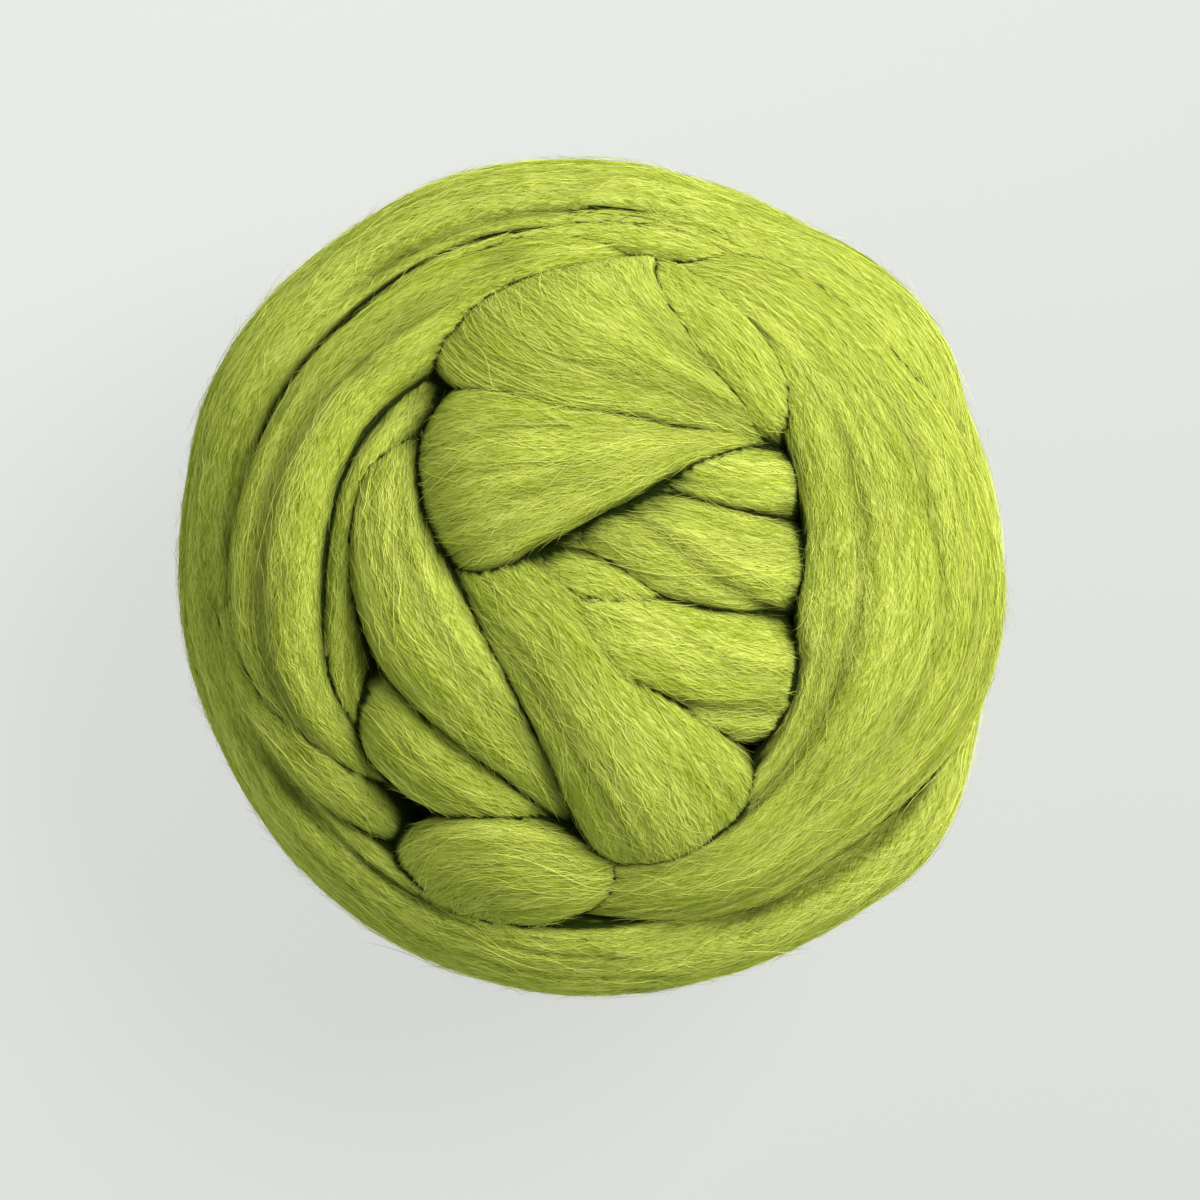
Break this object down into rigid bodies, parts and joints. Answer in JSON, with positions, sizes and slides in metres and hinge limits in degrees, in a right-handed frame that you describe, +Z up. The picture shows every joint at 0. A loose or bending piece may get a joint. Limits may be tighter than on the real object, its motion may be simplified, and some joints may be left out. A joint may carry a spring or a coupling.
{
  "type": "wool roving wound in a ball",
  "caption": "Ball of combed wool roving, one soft green strand wound by hand in broad crossing turns, resting on a small flat spot.",
  "frame": {"origin": "middle of the small flat spot that the ball rests on", "axes": "+Z up out of the flat spot, through the middle of the ball; +Y towards the far side of the ball and +X to the right, as it is seen from above with the broad fan of wool on the right"},
  "size_m": [0.1501, 0.1504, 0.1181],
  "materials": {
    "wool": "matte"
  },
  "bodies": {
    "root": {"wool_ball": "wool"}
  },
  "joints": []
}
